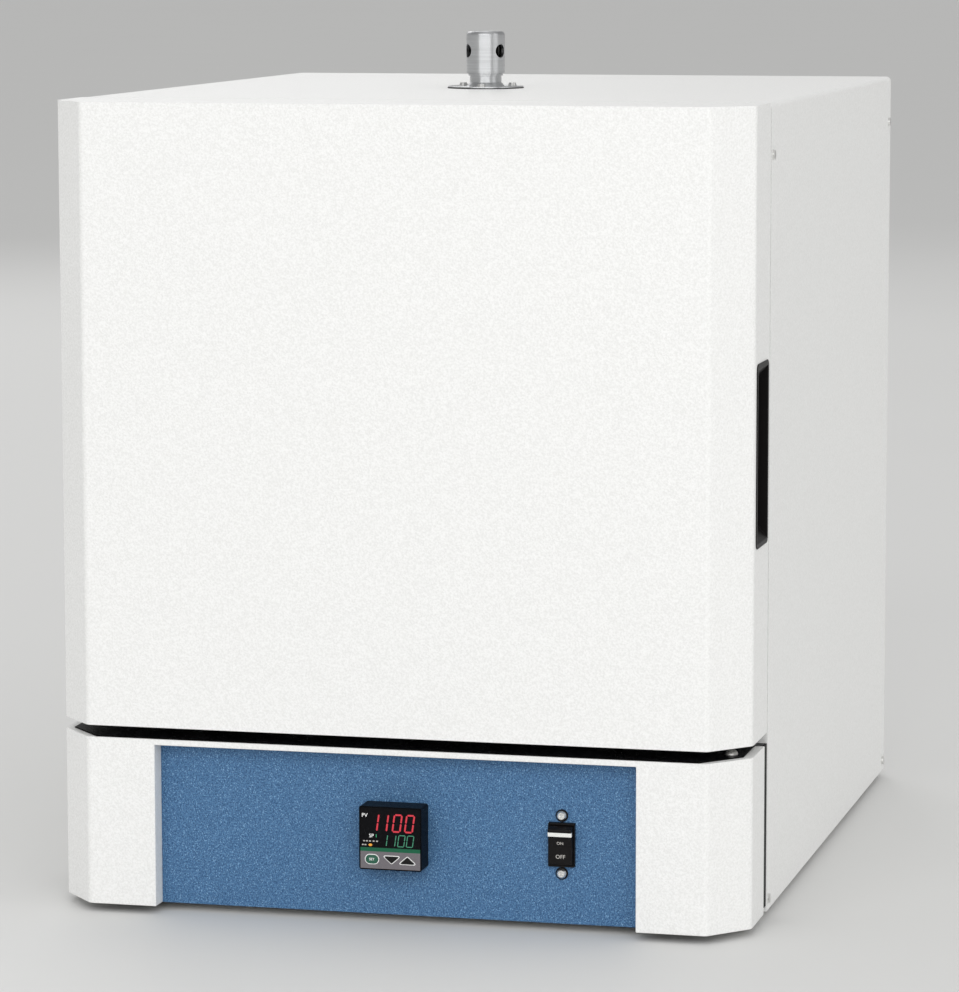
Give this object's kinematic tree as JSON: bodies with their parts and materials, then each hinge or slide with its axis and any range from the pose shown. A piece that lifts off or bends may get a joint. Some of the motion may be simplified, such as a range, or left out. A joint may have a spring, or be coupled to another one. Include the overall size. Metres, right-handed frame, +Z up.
{
  "type": "bench-top chamber kiln",
  "caption": "Bench-top electric chamber kiln: side-hinged door with a fibre plug, heated chamber, control base with controller and breaker, turning top vent.",
  "frame": {"origin": "on the table under the middle of the cabinet: half way between the two sides and half way between the door's front and the back panel", "axes": "+X to the user's right when facing the door, +Y to the rear, +Z up"},
  "size_m": [0.5433, 0.6893, 0.6578],
  "materials": {
    "white_paint": "satin",
    "blue_paint": "satin",
    "galvanised_steel": "matte",
    "stainless_steel": "satin",
    "plated_steel": "satin",
    "black_rubber": "matte",
    "ceramic_fibre": "matte",
    "fibre_rope": "matte",
    "fired_ceramic": "matte",
    "heating_alloy": "matte",
    "terminal_brass": "satin",
    "black_gloss_plastic": "gloss",
    "display_window": "gloss",
    "green_stripe": "satin",
    "grey_keypad": "satin",
    "green_key": "satin",
    "black_key": "satin",
    "black_plastic": "satin",
    "white_plastic": "satin",
    "sink_aluminium": "satin"
  },
  "bodies": {
    "cabinet": {"outer_wrap": "white_paint", "back_panel": "white_paint", "base_pan": "galvanised_steel", "deck_plate": "galvanised_steel", "front_frame": "stainless_steel", "front_bezel": "white_paint", "control_panel": "blue_paint", "feet": "black_rubber", "inner_case": "galvanised_steel", "insulation_left": "ceramic_fibre", "insulation_right": "ceramic_fibre", "insulation_top": "ceramic_fibre", "insulation_bottom": "ceramic_fibre", "insulation_back": "ceramic_fibre", "mouth_board": "ceramic_fibre", "element_left": "heating_alloy", "element_right": "heating_alloy", "element_tubes": "fired_ceramic", "element_terminals": "terminal_brass", "hearth_plate": "fired_ceramic", "thermocouple": "fired_ceramic", "vent_liner": "fired_ceramic", "vent_neck": "plated_steel", "vent_screws": "plated_steel", "vent_gasket": "black_rubber", "controller_case": "black_gloss_plastic", "controller_window": "display_window", "controller_stripe": "green_stripe", "controller_keypad": "grey_keypad", "controller_clamp": "black_plastic", "breaker_body": "black_plastic", "breaker_screws": "plated_steel", "breaker_washers": "black_plastic", "relay": "black_plastic", "heat_sink": "sink_aluminium", "terminal_block": "black_plastic", "cable_gland": "black_plastic", "gland_nut": "black_plastic", "cabinet_screws": "plated_steel", "back_screws": "plated_steel", "cabinet_hinge_leaves": "plated_steel", "hinge_pins": "plated_steel", "catch_plate": "plated_steel", "door_switch": "black_plastic", "ledge_plate": "black_gloss_plastic", "gap_strips": "black_rubber", "door_glide": "plated_steel"},
    "door": {"door_shell": "white_paint", "door_liner": "stainless_steel", "door_board": "ceramic_fibre", "door_plug": "ceramic_fibre", "door_seal": "fibre_rope", "door_pull": "black_plastic", "door_hinge_leaves": "plated_steel", "door_catch": "black_plastic", "door_screws": "plated_steel"},
    "vent_cap": {"vent_cap": "plated_steel"},
    "power_rocker": {"breaker_rocker": "black_plastic", "rocker_band": "white_plastic"},
    "set_key": {"key_set": "green_key"},
    "down_key": {"key_down": "black_key"},
    "up_key": {"key_up": "black_key"},
    "plunger": {"switch_plunger": "white_plastic"}
  },
  "joints": [
    {"name": "door_swing", "type": "hinge", "parent": "cabinet", "child": "door", "pos_m": [-0.271, -0.2465, 0.378], "axis": [0, 0, -1], "range_deg": [0, 120]},
    {"name": "vent_cap_turn", "type": "hinge", "parent": "cabinet", "child": "vent_cap", "pos_m": [-0.0115, 0.0035, 0.6423], "axis": [0, 0, 1], "range_deg": [0, 60]},
    {"name": "power_rocker_tilt", "type": "hinge", "parent": "cabinet", "child": "power_rocker", "pos_m": [0.126, -0.3219, 0.066], "axis": [-1, 0, 0], "range_deg": [0, 20]},
    {"name": "set_key_press", "type": "slide", "parent": "cabinet", "child": "set_key", "axis": [0, 1, 0], "range_m": [0, 0.0005], "stiffness_N_per_m": 800},
    {"name": "down_key_press", "type": "slide", "parent": "cabinet", "child": "down_key", "axis": [0, 1, 0], "range_m": [0, 0.0005], "stiffness_N_per_m": 800},
    {"name": "up_key_press", "type": "slide", "parent": "cabinet", "child": "up_key", "axis": [0, 1, 0], "range_m": [0, 0.0005], "stiffness_N_per_m": 800},
    {"name": "door_switch_press", "type": "slide", "parent": "cabinet", "child": "plunger", "axis": [0, 1, 0], "range_m": [0, 0.003], "stiffness_N_per_m": 300}
  ]
}
